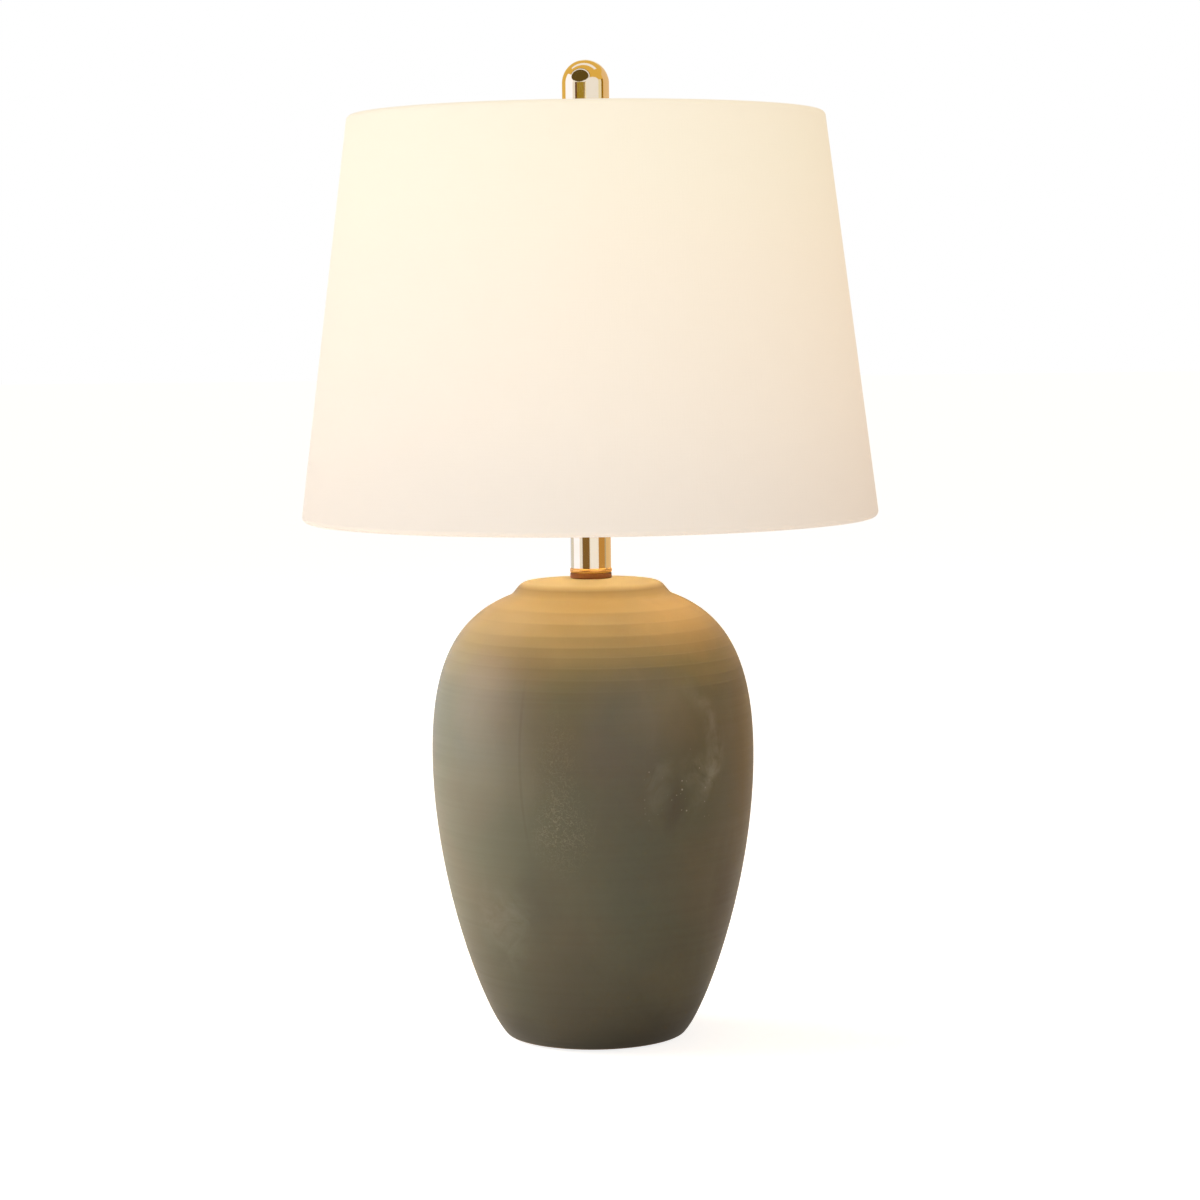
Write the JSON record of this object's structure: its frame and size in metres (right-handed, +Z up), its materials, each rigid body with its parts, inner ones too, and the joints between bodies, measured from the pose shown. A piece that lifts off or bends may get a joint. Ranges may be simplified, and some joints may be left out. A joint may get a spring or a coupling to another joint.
{
  "type": "ceramic table lamp",
  "caption": "Table lamp with a shouldered glazed ceramic jar base, polished brass neck and capsule finial, and a tapered fabric drum shade on a harp.",
  "frame": {"origin": "on the table, under the middle of the jar's foot", "axes": "+Z up along the lamp's axis; -Y is the pictured front, and the switch knob and the cord outlet point to +Y"},
  "size_m": [0.3556, 0.3556, 0.6045],
  "materials": {
    "felt": "dense wool felt, glued on",
    "glaze": "satin olive-brown reactive glaze over thrown stoneware",
    "bushing_plastic": "moulded nylon",
    "zinc_steel": "zinc plated",
    "polished_brass": "mirror polished and lacquered",
    "brass_plate": "brass plated, satin",
    "seat_fibre": "brown vulcanised fibre, waxed",
    "fibre": "vulcanised fibre",
    "phenolic": "moulded phenolic",
    "shell_metal": "drawn sheet",
    "knob_plastic": "moulded phenolic, fluted",
    "bulb_plastic": "moulded, white",
    "bulb_diffuser": "frosted white, lit",
    "white_wire": "epoxy coated wire",
    "shade_cloth": "fine cream linen, lit from inside",
    "styrene": "white styrene sheet"
  },
  "bodies": {
    "base": {"felt_pad": "felt", "ceramic_body": "glaze", "cord_bushing": "bushing_plastic", "lamp_pipe": "zinc_steel", "bottom_washer": "zinc_steel", "bottom_nut": "zinc_steel", "neck_washer": "seat_fibre", "neck_collar": "polished_brass", "neck_tube": "polished_brass", "neck_cap": "polished_brass", "lock_nut": "polished_brass", "harp_saddle": "brass_plate", "harp_wire": "brass_plate", "harp_seat": "polished_brass", "socket_cap": "brass_plate", "set_screw": "zinc_steel", "socket_shell": "brass_plate", "socket_liner": "fibre", "socket_body": "phenolic", "terminal_screws": "brass_plate", "screw_shell": "shell_metal", "center_contact": "brass_plate"},
    "switch": {"switch_shaft": "zinc_steel", "switch_knob": "knob_plastic"},
    "bulb": {"bulb_tip": "zinc_steel", "bulb_insulator": "phenolic", "bulb_screw_cap": "shell_metal", "bulb_housing": "bulb_plastic", "bulb_dome": "bulb_diffuser"},
    "left_sleeve": {"left_harp_sleeve": "brass_plate"},
    "right_sleeve": {"right_harp_sleeve": "brass_plate"},
    "shade": {"top_ring": "white_wire", "bottom_ring": "white_wire", "shade_fabric": "shade_cloth", "shade_liner": "styrene", "spider_hub": "brass_plate", "spider_arms": "brass_plate"},
    "finial": {"finial": "polished_brass"}
  },
  "joints": [
    {"name": "shade_turn", "type": "hinge", "parent": "base", "child": "shade", "pos_m": [0, 0, 0.56215], "axis": [0, 0, 1], "continuous": true},
    {"name": "finial_turn", "type": "hinge", "parent": "base", "child": "finial", "pos_m": [0, 0, 0.563], "axis": [0, 0, 1], "range_deg": [0, 3600]},
    {"name": "bulb_turn", "type": "hinge", "parent": "base", "child": "bulb", "pos_m": [0, 0, 0.3909], "axis": [0, 0, 1], "range_deg": [0, 1620]},
    {"name": "switch_turn", "type": "hinge", "parent": "base", "child": "switch", "pos_m": [0, 0, 0.3771], "axis": [0, 1, 0], "continuous": true},
    {"name": "left_sleeve_slide", "type": "slide", "parent": "base", "child": "left_sleeve", "axis": [0, 0, 1], "range_m": [0, 0.015]},
    {"name": "right_sleeve_slide", "type": "slide", "parent": "base", "child": "right_sleeve", "axis": [0, 0, 1], "range_m": [0, 0.015]}
  ]
}
